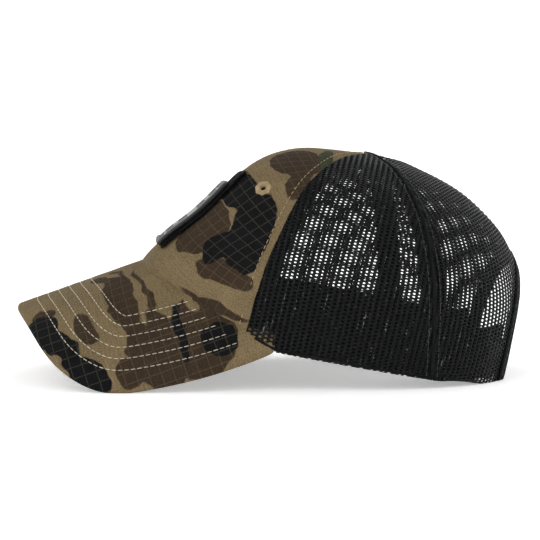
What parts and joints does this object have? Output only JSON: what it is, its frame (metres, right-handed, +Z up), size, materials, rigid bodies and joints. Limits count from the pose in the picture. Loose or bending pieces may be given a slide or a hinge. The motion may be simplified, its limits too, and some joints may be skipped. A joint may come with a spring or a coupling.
{
  "type": "trucker cap",
  "caption": "Low trucker cap with a steeply curved visor, cloth front, mesh sides and back, a removable front patch and a snap strap across the rear arch.",
  "frame": {"origin": "on the surface the cap rests on, under the middle of its bounding box", "axes": "+Z up, the visor points to -Y, the wearer's left is +X"},
  "size_m": [0.155, 0.2737, 0.1233],
  "materials": {
    "camo_cloth": "matte ripstop cotton in a woodland print",
    "black_mesh": "slightly shiny knitted polyester mesh",
    "tan_thread": "satin embroidery thread",
    "black_cloth": "matte black tape and twill",
    "visor_plastic": "plain polyethylene sheet",
    "loop_tape": "brushed black loop pile",
    "hook_tape": "black hook tape",
    "patch_cloth": "black patch cloth with pale bars",
    "patch_thread": "overlocked black rim thread",
    "strap_plastic": "semi-gloss moulded black plastic"
  },
  "bodies": {
    "crown": {"front_panel_left": "camo_cloth", "front_panel_right": "camo_cloth", "mesh_side_panel_left": "black_mesh", "mesh_side_panel_right": "black_mesh", "mesh_back_panel_left": "black_mesh", "mesh_back_panel_right": "black_mesh", "eyelet_left": "tan_thread", "eyelet_right": "tan_thread", "crown_apex_tack": "black_cloth", "seam_tape_center": "black_cloth", "seam_tape_front_left": "black_cloth", "seam_tape_front_right": "black_cloth", "seam_tape_side_left": "black_cloth", "seam_tape_side_right": "black_cloth", "sweatband": "black_cloth", "rear_arch_binding": "black_cloth", "visor_top_cover": "camo_cloth", "visor_board": "visor_plastic", "visor_bottom_cover": "camo_cloth", "loop_field": "loop_tape", "strap_anchor_left": "strap_plastic", "strap_anchor_right": "strap_plastic"},
    "patch": {"patch_hook_backing": "hook_tape", "patch_face": "patch_cloth", "patch_border": "patch_thread"},
    "outer_strap": {"snap_strap_holes": "strap_plastic"},
    "inner_strap": {"snap_strap_pegs": "strap_plastic"}
  },
  "joints": [
    {"name": "patch_peel_off", "type": "slide", "parent": "crown", "child": "patch", "axis": [0, -0.6506, 0.7594], "range_m": [0, 0.06]},
    {"name": "outer_strap_open", "type": "hinge", "parent": "crown", "child": "outer_strap", "pos_m": [0.0357, 0.12318, 0.01085], "axis": [0, -0.2266, -0.974], "range_deg": [0, 60], "stiffness_Nm_per_rad": 0.002},
    {"name": "inner_strap_flex", "type": "hinge", "parent": "crown", "child": "inner_strap", "pos_m": [-0.0353, 0.12171, 0.01119], "axis": [0, -0.2266, -0.974], "range_deg": [0, 35], "stiffness_Nm_per_rad": 0.002}
  ]
}
